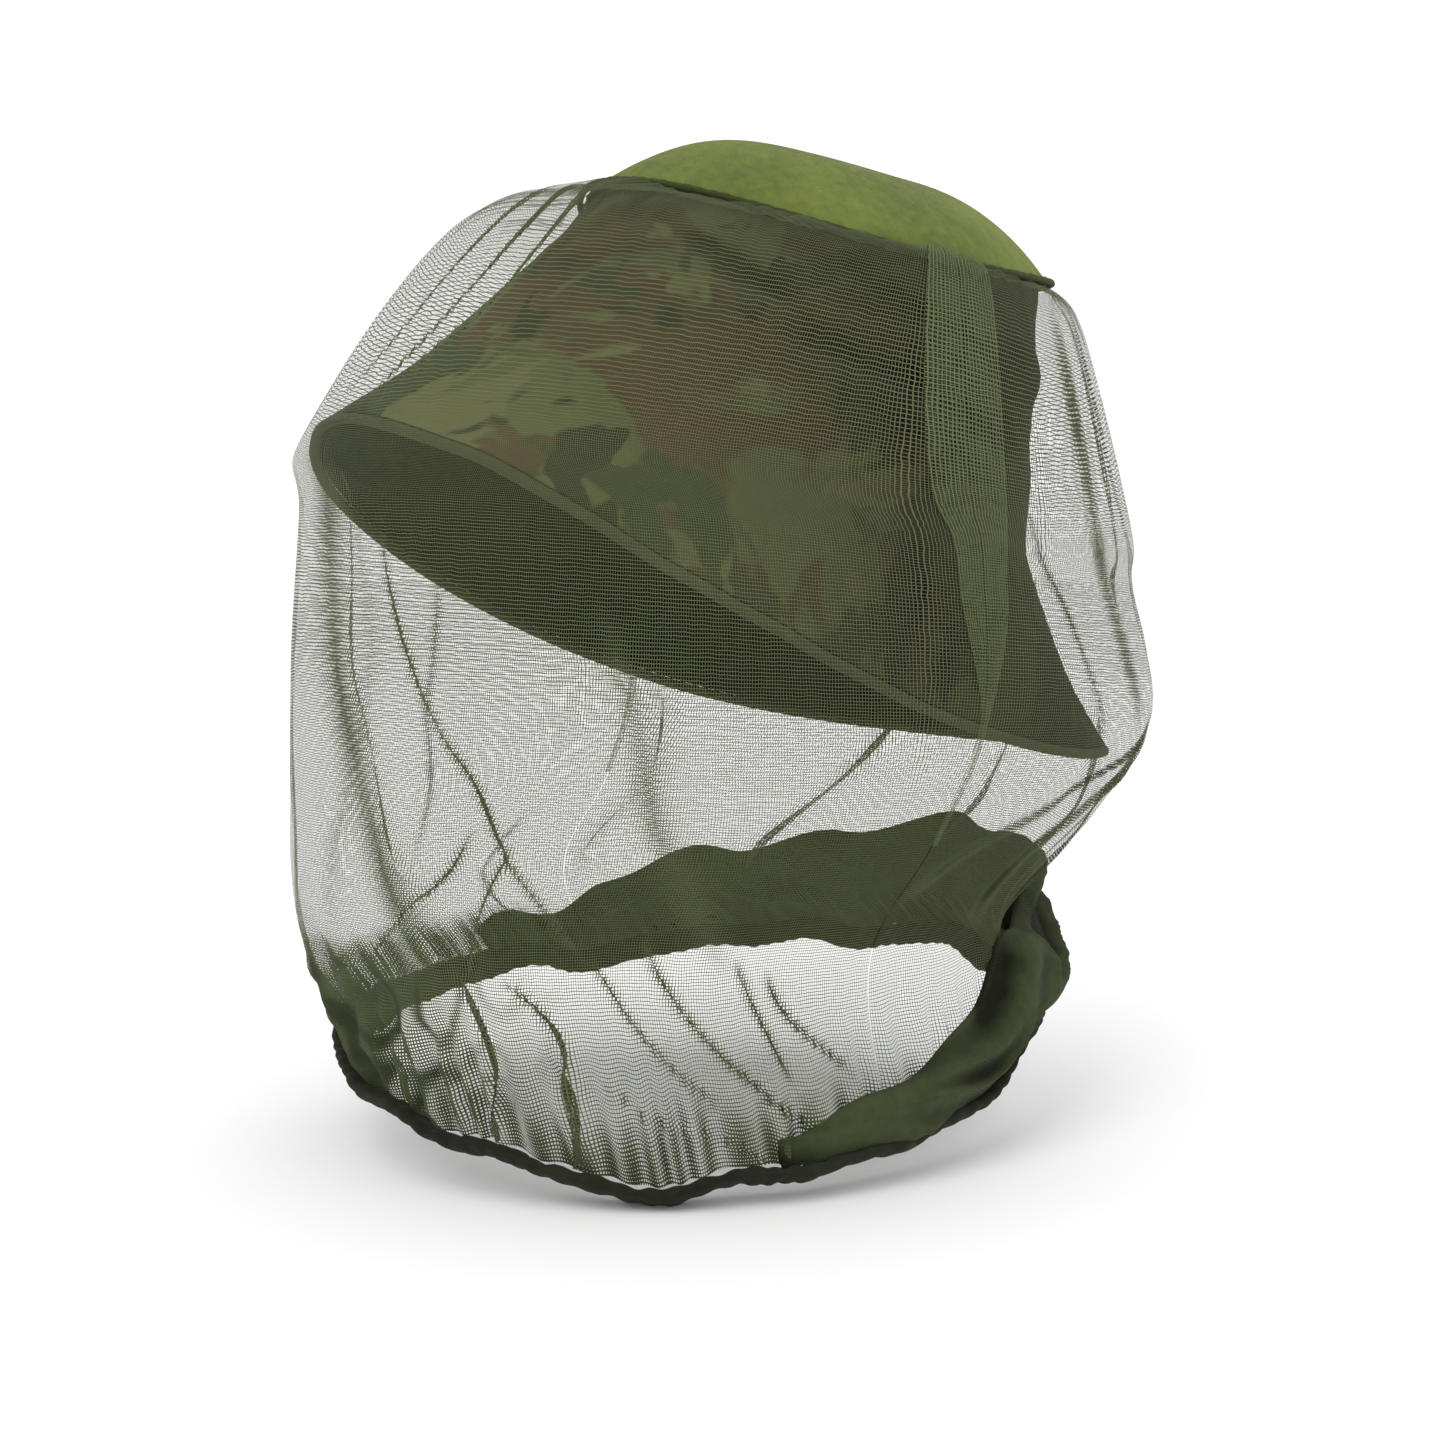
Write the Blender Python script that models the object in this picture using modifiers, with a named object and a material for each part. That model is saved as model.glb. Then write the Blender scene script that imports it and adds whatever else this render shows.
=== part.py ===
# Camouflage bucket hat with a gathered head net (beekeeping veil) pulled over it.
# Metres, +Z up. The wearer looks along -Y and the wearer's left side is +X.
# The origin is the centre of the hat's head opening, at the bottom of the sweatband.
import math

import bmesh
import bpy
from mathutils import Matrix, Vector

OBJECT_NAME = "beekeeping_veil"

# hat: the head opening and the crown
HAT_PITCH = math.radians(28.2)      # the head opening's plane, front raised
HEAD_LENGTH = 0.202                 # outside of the crown at its base, front to back
HEAD_WIDTH = 0.168                  # outside of the crown at its base, side to side
TIP_PITCH = math.radians(11.0)      # the oval tip leans back less than the opening does
TIP_SET_BACK = 0.0209               # middle of the seam round the tip, behind the opening's
TIP_LENGTH = 0.160                  # the oval tip, front to back
TIP_WIDTH = 0.122
TIP_SADDLE = 0.006                  # the seam is this much higher front and back, lower at the sides
TIP_SLANT = 0.004                   # and this much higher at the back than the average
TIP_RISE = 0.030                    # dome of the tip above its seam
DOME_FULLNESS = 3.0                 # 2 is a paraboloid, more is flatter on top
HAT_CLOTH = 0.0012                  # one sewn layer of hat cloth
SWEATBAND_HEIGHT = 0.028
SWEATBAND_THICKNESS = 0.0015
SWEATBAND_START = 0.001             # above the bottom of the crown wall
SEAM_TAPE_HEIGHT = 0.012
BAND_SPACING = 0.0200               # bare wall between sweatband and tape, on average
SEAM_TAPE_THICKNESS = 0.0006
PANEL_SEAM_GAP = 0.0004             # the two wall panels meet front and back

# brim: its outer edge is a wavy ring, high in front and hanging down at the sides and back
# these are its distances from the root: shares of the sine of 1, 2 and 3 turns, and the mean
# and the shares of the cosine of 1 and 2 turns
BRIM_REACH_SIDE = (0.0197, 0.0131, 0.0068)
BRIM_REACH_FORWARD = (-0.0127, -0.04639, 0.0028)
BRIM_REACH_HEIGHT = (-0.0616, 0.00667, 0.0119)
BRIM_PLY = 0.0010
BRIM_BINDING_RADIUS = 0.0016

# veil: cloth crown panel, net, hem
CROWN_PANEL_CLOTH = 0.0008
CROWN_PANEL_CLEARANCE = 0.0010      # between the hat's tip and the veil lying on it
CROWN_PANEL_OVERHANG = 0.0015       # the panel's edge lies this far outside the tip
CROWN_BINDING_RADIUS = 0.0014
NET_CLOTH = 0.0006
NET_SEAM_WIDTH = 0.022
NET_SEAM_ANGLE = math.radians(96.0)   # the side seams lie this far round from the front
NET_SEAM_CLOTH = 0.0005
NET_SEAM_STOP = 4                   # the doubled seam stops this many net rows above the hem
HEM_BAND_WIDTH = 0.014
HEM_BAND_DEPTH = 0.0042             # outside thickness of the casing round its elastic
HEM_CLOTH = 0.0008
HEM_SLOPE = math.radians(65.0)      # from upright: the band turns inwards below the net
ELASTIC_WIDTH = 0.008
ELASTIC_THICKNESS = 0.0012
YOKE_START = math.radians(77.0)     # the cloth yoke runs round the nape between these
YOKE_END = math.radians(286.0)
YOKE_CLOTH = 0.0012
YOKE_CLEARANCE = 0.0008             # between the yoke's edges and the net, measured level
YOKE_HEIGHT = 0.038                 # above the hem, at the nape
YOKE_END_SHARE = 0.20               # its height at the two ends, as a share of that
YOKE_PUFF = 0.016                   # how far the bunched cloth stands off the net
YOKE_STEPS = 5                      # rows of faces up the yoke

GAP = 0.0004                        # clearance between neighbouring pieces
AROUND = 48                         # steps round a ring
WALL_STEPS = 2                      # rows of faces up the crown wall
DOME_RINGS = 5                      # rings of the domed tip
BRIM_STEPS = 3                      # rows of faces across the brim
NET_STEPS = 2                       # rows of faces from one net ring to the next
SEAM_STEPS = 4                      # faces across a seam strip
SHARP_ANGLE = math.radians(50.0)    # faces that meet at more than this are not shaded smooth

# net rings from the crown seam to the hem: centre y, centre z, half length, half width,
# pitch in degrees and squareness, where 2 is an ellipse and more bulges at the corners
NET_RINGS = (
    (0.0038, 0.0484, 0.1072, 0.0865, 9.5, 2.2),
    (-0.0165, -0.0134, 0.1350, 0.1075, 8.0, 2.6),
    (-0.0179, -0.0361, 0.1320, 0.1180, 6.0, 2.5),
    (-0.0120, -0.0837, 0.1440, 0.1130, 3.0, 2.3),
    (-0.0206, -0.1204, 0.1399, 0.1080, 1.0, 2.0),
    (-0.0387, -0.1544, 0.1178, 0.1065, -1.0, 2.0),
)
HEM_CENTRE_Y = -0.0259
HEM_HEIGHT = -0.1895                # mean height of the hem's upper edge
HEM_LENGTH = 0.2394
HEM_WIDTH = 0.2121
HEM_SAG = 0.0166                    # the hem hangs this much lower on the wearer's left
HEM_SAG_ANGLE = math.radians(51.0)
HEM_BEND = 0.0070                   # and rises this much where it crosses a shoulder
HEM_BEND_ANGLE = math.radians(-15.5)


def clear_scene():
    for old in list(bpy.data.objects):
        bpy.data.objects.remove(old, do_unlink=True)


def make_material(name, colour, roughness, metallic=0.0):
    material = bpy.data.materials.new(name)
    material.use_nodes = True
    shader = material.node_tree.nodes["Principled BSDF"]
    shader.inputs["Base Color"].default_value = (*colour, 1.0)
    shader.inputs["Roughness"].default_value = roughness
    shader.inputs["Metallic"].default_value = metallic
    return material


def turn_angles(start=0.0, end=math.tau, steps=AROUND):
    count = steps if abs(end - start - math.tau) < 1e-9 else steps + 1
    return [start + (end - start) * i / steps for i in range(count)]


def oval_point(angle, length, width, centre_y=0.0, height=0.0):
    """Point of an oval ring; angle 0 is the front (-Y), a quarter turn is +X."""
    return Vector((width / 2 * math.sin(angle), centre_y - length / 2 * math.cos(angle), height))


def full_oval_point(angle, reach, half_width, squareness):
    """Point of an oval that bulges at its corners; it lies at height 0 round the origin."""
    side, front = math.sin(angle), math.cos(angle)
    power = 2 / squareness
    return Vector((math.copysign(half_width * abs(side) ** power, side),
                   -math.copysign(reach * abs(front) ** power, front), 0.0))


def oval_outward(angle, length, width):
    """Level direction that points straight out of the oval at this angle."""
    return Vector((math.sin(angle) * length, -math.cos(angle) * width, 0.0)).normalized()


def pitched(point, pitch):
    """Turn a point about X so that the front goes up."""
    return Matrix.Rotation(-pitch, 3, "X") @ point


def skin_rows(rows, closed, pole=None):
    """Loft a quad grid through rows of points that run from the bottom up."""
    sheet = bmesh.new()
    grid = [[sheet.verts.new(point) for point in row] for row in rows]
    for lower, upper in zip(grid, grid[1:]):
        last = len(lower) if closed else len(lower) - 1
        for i in range(last):
            j = (i + 1) % len(lower)
            sheet.faces.new((lower[i], lower[j], upper[j], upper[i]))
    if pole is not None:
        top = sheet.verts.new(pole)
        ring = grid[-1]
        for i in range(len(ring)):
            sheet.faces.new((ring[i], ring[(i + 1) % len(ring)], top))
    return sheet


def add_object(name, sheet, material):
    mesh = bpy.data.meshes.new(name)
    sheet.normal_update()
    sheet.to_mesh(mesh)
    sheet.free()
    mesh.shade_smooth()
    mesh.set_sharp_from_angle(angle=SHARP_ANGLE)
    mesh.materials.append(material)
    piece = bpy.data.objects.new(name, mesh)
    bpy.data.collections[OBJECT_NAME].objects.link(piece)
    return piece


def add_cloth(name, rows, thickness, material, closed=True, pole=None):
    """A sheet of cloth: the rows give its outer face and the thickness goes inwards."""
    piece = add_object(name, skin_rows(rows, closed, pole), material)
    solidify = piece.modifiers.new("cloth", "SOLIDIFY")
    solidify.thickness = thickness
    solidify.offset = -1.0
    solidify.use_even_offset = True
    return piece


def add_tube(name, points, radius, material):
    """A closed ring of piping along the points."""
    curve = bpy.data.curves.new(name, "CURVE")
    curve.dimensions = "3D"
    curve.bevel_depth = radius
    curve.bevel_resolution = 1
    spline = curve.splines.new("POLY")
    spline.points.add(len(points) - 1)
    for slot, point in zip(spline.points, points):
        slot.co = (*point, 1.0)
    spline.use_cyclic_u = True
    curve.materials.append(material)
    piece = bpy.data.objects.new(name, curve)
    bpy.data.collections[OBJECT_NAME].objects.link(piece)
    return piece


# hat

def tip_frame(point):
    """Put a point of the tip's own level frame, with its seam at height 0, on the hat."""
    centre = Vector((0.0, TIP_SET_BACK, SWEATBAND_HEIGHT + SEAM_TAPE_HEIGHT + BAND_SPACING))
    return pitched(point, TIP_PITCH) + centre


def seam_lift(angle):
    """How much higher than its average the seam round the tip is."""
    return TIP_SADDLE * math.cos(2 * angle) - TIP_SLANT * math.cos(angle)


def wall_ends(angle, inset=0.0):
    """Bottom and top of the crown wall at one angle."""
    low = oval_point(angle, HEAD_LENGTH - 2 * inset, HEAD_WIDTH - 2 * inset)
    high = oval_point(angle, TIP_LENGTH - 2 * inset, TIP_WIDTH - 2 * inset, 0.0, seam_lift(angle))
    return pitched(low, HAT_PITCH), tip_frame(high)


def band_row(angles, height, inset):
    """A ring inside the wall at a height along it; a negative height is from the top down."""
    row = []
    for angle in angles:
        bottom, top = wall_ends(angle, inset)
        run = (top - bottom).length
        row.append(bottom.lerp(top, (run + height if height < 0 else height) / run))
    return row


def dome_rows(angles, length, width, height, rise):
    """Rings of a dome from its edge to just short of its pole, and the pole."""
    rows = []
    for k in range(DOME_RINGS):
        share = math.cos(math.pi / 2 * k / DOME_RINGS)
        lift = rise * (1 - share ** DOME_FULLNESS)
        rows.append([tip_frame(oval_point(a, length * share, width * share, 0.0,
                                          height + lift + seam_lift(a) * share)) for a in angles])
    return rows, tip_frame(Vector((0.0, 0.0, height + rise)))


def build_crown(material, lining):
    half_gap = PANEL_SEAM_GAP / HEAD_WIDTH
    half_steps = AROUND // 2
    sides = {"hat_side_panel_left": (half_gap, math.pi - half_gap),
             "hat_side_panel_right": (math.pi + half_gap, math.tau - half_gap)}
    for name, (start, end) in sides.items():
        angles = turn_angles(start, end, half_steps)
        ends = [wall_ends(a) for a in angles]
        rows = [[low.lerp(high, k / WALL_STEPS) for low, high in ends]
                for k in range(WALL_STEPS + 1)]
        add_cloth(name, rows, HAT_CLOTH, material, closed=False)
    ring = turn_angles()
    rows, pole = dome_rows(ring, TIP_LENGTH, TIP_WIDTH, HAT_CLOTH + GAP, TIP_RISE)
    add_cloth("hat_top_panel", rows, HAT_CLOTH, material, pole=pole)
    inset = HAT_CLOTH + GAP
    bands = (("hat_sweatband", SWEATBAND_START, SWEATBAND_START + SWEATBAND_HEIGHT,
              SWEATBAND_THICKNESS),
             ("hat_crown_seam_tape", -(SEAM_TAPE_HEIGHT + GAP), -GAP, SEAM_TAPE_THICKNESS))
    for name, low, high, thickness in bands:
        rows = [band_row(ring, low, inset), band_row(ring, high, inset)]
        add_cloth(name, rows, thickness, lining)


def brim_root(angle):
    return pitched(oval_point(angle, HEAD_LENGTH, HEAD_WIDTH, 0.0, -GAP), HAT_PITCH)


def brim_edge(angle):
    side = sum(share * math.sin((k + 1) * angle) for k, share in enumerate(BRIM_REACH_SIDE))
    forward = sum(share * math.cos(k * angle) for k, share in enumerate(BRIM_REACH_FORWARD))
    height = sum(share * math.cos(k * angle) for k, share in enumerate(BRIM_REACH_HEIGHT))
    root = pitched(oval_point(angle, HEAD_LENGTH, HEAD_WIDTH), HAT_PITCH)
    return root + Vector((side, forward, height))


def brim_point(angle, share, below=0.0, beyond=0.0):
    """Point on the brim: share runs from its root to its edge, below is under its top face
    and beyond is past its edge."""
    root, edge = brim_root(angle), brim_edge(angle)
    run = edge - root
    step = math.tau / AROUND / 2
    ahead = brim_root(angle + step).lerp(brim_edge(angle + step), share)
    behind = brim_root(angle - step).lerp(brim_edge(angle - step), share)
    upward = run.cross(ahead - behind).normalized()
    return root.lerp(edge, share) - upward * below + run.normalized() * beyond


def brim_rows(angles, below):
    return [[brim_point(a, k / BRIM_STEPS, below) for a in angles]
            for k in range(BRIM_STEPS, -1, -1)]


def build_brim(material, edging):
    ring = turn_angles()
    add_cloth("hat_brim_upper", brim_rows(ring, 0.0), BRIM_PLY, material)
    add_cloth("hat_brim_under", brim_rows(ring, BRIM_PLY + GAP), BRIM_PLY, material)
    beyond = BRIM_BINDING_RADIUS + GAP
    middle = BRIM_PLY + GAP / 2
    points = [brim_point(a, 1.0, middle, beyond) for a in ring]
    add_tube("hat_brim_binding", points, BRIM_BINDING_RADIUS, edging)


# veil

def crown_panel_size():
    grow = 2 * (CROWN_PANEL_OVERHANG + CROWN_PANEL_CLOTH)
    return TIP_LENGTH + grow, TIP_WIDTH + grow


def crown_panel_height():
    return HAT_CLOTH + GAP


def build_crown_panel(cloth, edging):
    ring = turn_angles()
    length, width = crown_panel_size()
    rise = TIP_RISE + CROWN_PANEL_CLEARANCE + CROWN_PANEL_CLOTH
    rows, pole = dome_rows(ring, length, width, crown_panel_height(), rise)
    add_cloth("veil_crown_panel", rows, CROWN_PANEL_CLOTH, cloth, pole=pole)
    reach = 2 * (CROWN_BINDING_RADIUS + GAP)
    points = [tip_frame(oval_point(a, length + reach, width + reach, 0.0,
                                   crown_panel_height() + seam_lift(a))) for a in ring]
    add_tube("veil_crown_binding", points, CROWN_BINDING_RADIUS, edging)


def net_top_point(angle):
    """The net starts just below the binding round the crown panel."""
    length, width = crown_panel_size()
    reach = 2 * (CROWN_BINDING_RADIUS + GAP)
    height = crown_panel_height() + seam_lift(angle) - CROWN_BINDING_RADIUS - GAP
    return tip_frame(oval_point(angle, length + reach, width + reach, 0.0, height))


def hem_point(angle, inward=0.0, below=0.0):
    """Point on the hem band: inward runs down its slope, below is under its upper face."""
    point = oval_point(angle, HEM_LENGTH, HEM_WIDTH, HEM_CENTRE_Y, HEM_HEIGHT)
    point.z -= HEM_SAG * math.cos(angle - HEM_SAG_ANGLE)
    point.z += HEM_BEND * math.cos(2 * (angle - HEM_BEND_ANGLE))
    outward = oval_outward(angle, HEM_LENGTH, HEM_WIDTH)
    level = -inward * math.sin(HEM_SLOPE) + below * math.cos(HEM_SLOPE)
    rise = -inward * math.cos(HEM_SLOPE) - below * math.sin(HEM_SLOPE)
    return point + outward * level + Vector((0.0, 0.0, rise))


def net_knots(angle):
    """Points down the net at one angle, from the crown seam to the hem."""
    knots = [net_top_point(angle)]
    for centre_y, centre_z, reach, half_width, pitch, squareness in NET_RINGS:
        point = pitched(full_oval_point(angle, reach, half_width, squareness), math.radians(pitch))
        knots.append(point + Vector((0.0, centre_y, centre_z)))
    knots.append(hem_point(angle) + Vector((0.0, 0.0, GAP)))
    return knots


def smooth_run(knots):
    """Even steps along a Catmull-Rom curve through the knots."""
    run = [knots[0]]
    ends = [2 * knots[0] - knots[1]] + list(knots) + [2 * knots[-1] - knots[-2]]
    for a, b, c, d in zip(ends, ends[1:], ends[2:], ends[3:]):
        for k in range(1, NET_STEPS + 1):
            t = k / NET_STEPS
            run.append(0.5 * (2 * b + (c - a) * t + (2 * a - 5 * b + 4 * c - d) * t * t
                              + (3 * b - a - 3 * c + d) * t ** 3))
    return run


def net_rows(angles, stand_off=0.0):
    columns = []
    for angle in angles:
        outward = oval_outward(angle, HEM_LENGTH, HEM_WIDTH)
        columns.append([point + outward * stand_off for point in smooth_run(net_knots(angle))])
    rows = [list(row) for row in zip(*columns)]
    rows.reverse()
    return rows


def build_net(net):
    """Two net panels, front and back, with a doubled seam allowance down each side."""
    half_gap = PANEL_SEAM_GAP / HEM_WIDTH
    left, right = NET_SEAM_ANGLE, math.tau - NET_SEAM_ANGLE
    panels = {"veil_net_front": (right - math.tau + half_gap, left - half_gap),
              "veil_net_back": (left + half_gap, right - half_gap)}
    for name, (start, end) in panels.items():
        steps = round(AROUND * (end - start) / math.tau)
        add_cloth(name, net_rows(turn_angles(start, end, steps)), NET_CLOTH, net, closed=False)
    half_turn = NET_SEAM_WIDTH / HEM_WIDTH
    for name, middle in (("veil_net_seam_left", left), ("veil_net_seam_right", right)):
        angles = turn_angles(middle - half_turn, middle + half_turn, SEAM_STEPS)
        rows = net_rows(angles, NET_SEAM_CLOTH + GAP)[NET_SEAM_STOP:-1]
        add_cloth(name, rows, NET_SEAM_CLOTH, net, closed=False)


def build_hem(cloth, rubber):
    ring = turn_angles()
    folds = ((0.0, 0.0), (HEM_BAND_WIDTH, 0.0), (HEM_BAND_WIDTH, HEM_BAND_DEPTH),
             (0.0, HEM_BAND_DEPTH))
    add_cloth("hem_casing", [[hem_point(a, s, t) for a in ring] for s, t in folds], HEM_CLOTH,
              cloth)
    start = (HEM_BAND_WIDTH - ELASTIC_WIDTH) / 2
    face = (HEM_BAND_DEPTH - ELASTIC_THICKNESS) / 2
    strip = [[hem_point(a, start + s, face) for a in ring] for s in (0.0, ELASTIC_WIDTH)]
    add_cloth("hem_elastic", strip, ELASTIC_THICKNESS, rubber)


def net_point_above_hem(angle, height):
    """Point on the outside of the net at a height above the hem."""
    run = smooth_run(net_knots(angle))
    level = run[-1].z + height
    for upper, lower in zip(run, run[1:]):
        if lower.z <= level <= upper.z:
            return lower.lerp(upper, (level - lower.z) / (upper.z - lower.z))
    return run[-1]


def build_nape_yoke(cloth):
    angles = turn_angles(YOKE_START, YOKE_END, AROUND * 2 // 3)
    rows = []
    for k in range(YOKE_STEPS + 1):
        share = k / YOKE_STEPS
        row = []
        for angle in angles:
            swell = math.sin(math.pi * (angle - YOKE_START) / (YOKE_END - YOKE_START))
            height = YOKE_HEIGHT * (YOKE_END_SHARE + (1 - YOKE_END_SHARE) * swell)
            stand_off = YOKE_CLOTH + YOKE_CLEARANCE + YOKE_PUFF * swell * math.sin(math.pi * share)
            base = net_point_above_hem(angle, height * share)
            row.append(base + oval_outward(angle, HEM_LENGTH, HEM_WIDTH) * stand_off)
        rows.append(row)
    add_cloth("nape_yoke", rows, YOKE_CLOTH, cloth, closed=False)


def main():
    clear_scene()
    collection = bpy.data.collections.new(OBJECT_NAME)
    bpy.context.scene.collection.children.link(collection)

    camouflage = make_material("hat_camouflage", (0.075, 0.080, 0.048), 0.92)
    lining = make_material("hat_lining", (0.050, 0.055, 0.035), 0.90)
    crown_cloth = make_material("crown_panel_cloth", (0.175, 0.205, 0.065), 0.85)
    net = make_material("net", (0.115, 0.135, 0.075), 0.80)
    hem_cloth = make_material("hem_cloth", (0.045, 0.058, 0.034), 0.90)
    elastic = make_material("elastic", (0.020, 0.022, 0.018), 0.85)

    build_crown(camouflage, lining)
    build_brim(camouflage, lining)
    build_crown_panel(crown_cloth, hem_cloth)
    build_net(net)
    build_hem(hem_cloth, elastic)
    build_nape_yoke(hem_cloth)


main()
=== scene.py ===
# Looks of a camouflage bucket hat under a gathered head net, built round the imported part.
import math

import bmesh
import bpy
import numpy as np
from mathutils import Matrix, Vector, noise


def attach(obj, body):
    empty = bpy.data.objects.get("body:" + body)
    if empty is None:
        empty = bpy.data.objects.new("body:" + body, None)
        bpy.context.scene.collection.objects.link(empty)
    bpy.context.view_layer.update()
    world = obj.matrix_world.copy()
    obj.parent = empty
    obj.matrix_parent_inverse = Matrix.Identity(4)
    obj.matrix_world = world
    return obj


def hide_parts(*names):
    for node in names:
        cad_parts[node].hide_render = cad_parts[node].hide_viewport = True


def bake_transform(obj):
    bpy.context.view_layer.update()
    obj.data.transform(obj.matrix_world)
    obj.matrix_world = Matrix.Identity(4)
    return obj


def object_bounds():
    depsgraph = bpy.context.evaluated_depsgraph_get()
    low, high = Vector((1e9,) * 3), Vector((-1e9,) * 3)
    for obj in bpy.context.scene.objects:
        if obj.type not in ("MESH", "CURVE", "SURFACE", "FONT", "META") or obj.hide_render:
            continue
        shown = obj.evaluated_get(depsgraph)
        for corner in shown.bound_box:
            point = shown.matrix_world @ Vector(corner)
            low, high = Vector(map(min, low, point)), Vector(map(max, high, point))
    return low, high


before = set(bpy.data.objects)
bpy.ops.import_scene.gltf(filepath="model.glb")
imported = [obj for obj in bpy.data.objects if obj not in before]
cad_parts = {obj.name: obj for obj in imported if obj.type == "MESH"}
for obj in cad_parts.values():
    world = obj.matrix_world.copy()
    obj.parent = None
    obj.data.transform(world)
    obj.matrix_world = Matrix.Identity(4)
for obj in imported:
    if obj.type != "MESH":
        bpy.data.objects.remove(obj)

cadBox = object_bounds()
fullTurn = 2 * math.pi


# small helpers

def paint(red, green, blue):
    # screen colour, 0 to 255, as the linear colour that shaders take
    shares = [c / 255 for c in (red, green, blue)]
    return (*[c / 12.92 if c <= 0.04045 else ((c + 0.055) / 1.055) ** 2.4 for c in shares], 1.0)


def ease(low, high, value):
    share = np.clip((value - low) / (high - low), 0, 1)
    return share * share * (3 - 2 * share)


def stack(x, y, z):
    return np.stack([x + 0 * z, y + 0 * z, z + 0 * x], -1)


def nodTurn(points, degrees):
    # turns points about X so that the front goes up
    turn = -math.radians(degrees)
    c, s = math.cos(turn), math.sin(turn)
    x, y, z = points[..., 0], points[..., 1], points[..., 2]
    return np.stack([x, c * y - s * z, s * y + c * z], -1)


def ovalPoint(turn, length, width, centreY=0.0, height=0.0):
    # turn 0 is the front (-Y), a quarter turn is the wearer's left (+X)
    return stack(width / 2 * np.sin(turn), centreY - length / 2 * np.cos(turn), height + 0 * turn)


def ovalOutward(turn, length, width):
    way = stack(np.sin(turn) * length, -np.cos(turn) * width, 0 * turn)
    return way / np.linalg.norm(way, axis=-1, keepdims=True)


def roughness3d(points, size, seed):
    # smooth noise from -1 to 1 at points; size is the width of a bump in metres
    offset = Vector((seed * 7.3, seed * 3.1, seed * 5.7))
    return np.array([noise.noise(Vector(p) / size + offset) for p in points])


def gridSheet(name, across, up, place, cut, merge=False):
    # a sheet of cloth: place turns shares across and up into points, cut is its flat size
    shape = bmesh.new()
    shape.loops.layers.uv.new("cut")
    bmesh.ops.create_grid(shape, x_segments=across, y_segments=up, size=0.5, calc_uvs=True)
    mesh = bpy.data.meshes.new(name)
    shape.to_mesh(mesh)
    shape.free()
    flat = np.empty(len(mesh.vertices) * 3)
    mesh.vertices.foreach_get("co", flat)
    share = flat.reshape(-1, 3) + 0.5
    mesh.vertices.foreach_set("co", place(share[:, 0], share[:, 1]).ravel())
    layer = mesh.uv_layers[0].data
    spots = np.empty(len(layer) * 2)
    layer.foreach_get("uv", spots)
    layer.foreach_set("uv", (spots.reshape(-1, 2) * np.array(cut)).ravel())
    if merge:
        shape = bmesh.new()
        shape.from_mesh(mesh)
        bmesh.ops.remove_doubles(shape, verts=shape.verts, dist=1e-6)
        shape.to_mesh(mesh)
        shape.free()
    mesh.shade_smooth()
    mesh.update()
    piece = bpy.data.objects.new(name, mesh)
    bpy.context.scene.collection.objects.link(piece)
    return piece


def ringTube(name, around, section, centre, side, lift, cut):
    # a closed ring of piping: centre, side and lift give the frame of its section
    def place(u, v):
        turn, roll = u * fullTurn, v * fullTurn
        wide, tall = section(turn, roll)
        return centre(turn) + side(turn) * wide[:, None] + lift(turn) * tall[:, None]
    return gridSheet(name, around, 12, place, cut, merge=True)


def giveThickness(piece, thickness):
    solid = piece.modifiers.new("cloth", "SOLIDIFY")
    solid.thickness = thickness
    solid.offset = -1.0
    return piece


def setAttribute(piece, name, values):
    layer = piece.data.attributes.new(name, "FLOAT", "POINT")
    layer.data.foreach_set("value", np.asarray(values, np.float32))


def finishPiece(piece, material, slotName, *nodes):
    piece.data.materials.append(material)
    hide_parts(*nodes)


# shader groups

def newGroup(name, inputs, outputs):
    tree = bpy.data.node_groups.new(name, "ShaderNodeTree")
    kinds = {"v": "NodeSocketVector", "f": "NodeSocketFloat", "c": "NodeSocketColor"}
    for label, kind in inputs:
        tree.interface.new_socket(name=label, in_out="INPUT", socket_type=kinds[kind])
    for label, kind in outputs:
        tree.interface.new_socket(name=label, in_out="OUTPUT", socket_type=kinds[kind])
    return tree, tree.nodes.new("NodeGroupInput").outputs, tree.nodes.new("NodeGroupOutput").inputs


def plug(tree, value, socket):
    if isinstance(value, bpy.types.NodeSocket):
        tree.links.new(value, socket)
    else:
        socket.default_value = value


def calc(tree, operation, *values):
    node = tree.nodes.new("ShaderNodeMath")
    node.operation = operation
    for value, socket in zip(values, node.inputs):
        plug(tree, value, socket)
    return node.outputs[0]


def blendColour(tree, share, a, b, mode="MIX"):
    node = tree.nodes.new("ShaderNodeMix")
    node.data_type = "RGBA"
    node.blend_type = mode
    plug(tree, share, node.inputs[0])
    plug(tree, a, node.inputs[6])
    plug(tree, b, node.inputs[7])
    return node.outputs[2]


def noiseAt(tree, vector, scale, detail=3.0, rough=0.5, warp=0.0):
    node = tree.nodes.new("ShaderNodeTexNoise")
    plug(tree, vector, node.inputs["Vector"])
    plug(tree, scale, node.inputs["Scale"])
    node.inputs["Detail"].default_value = detail
    node.inputs["Roughness"].default_value = rough
    node.inputs["Distortion"].default_value = warp
    return node.outputs["Fac"]


def shifted(tree, vector, amount):
    node = tree.nodes.new("ShaderNodeVectorMath")
    node.operation = "ADD"
    plug(tree, vector, node.inputs[0])
    node.inputs[1].default_value = amount
    return node.outputs[0]


def mapRange(tree, value, low, high, toLow=0.0, toHigh=1.0):
    node = tree.nodes.new("ShaderNodeMapRange")
    plug(tree, value, node.inputs[0])
    for socket, number in zip(node.inputs[1:5], (low, high, toLow, toHigh)):
        plug(tree, number, socket)
    return node.outputs[0]


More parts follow.
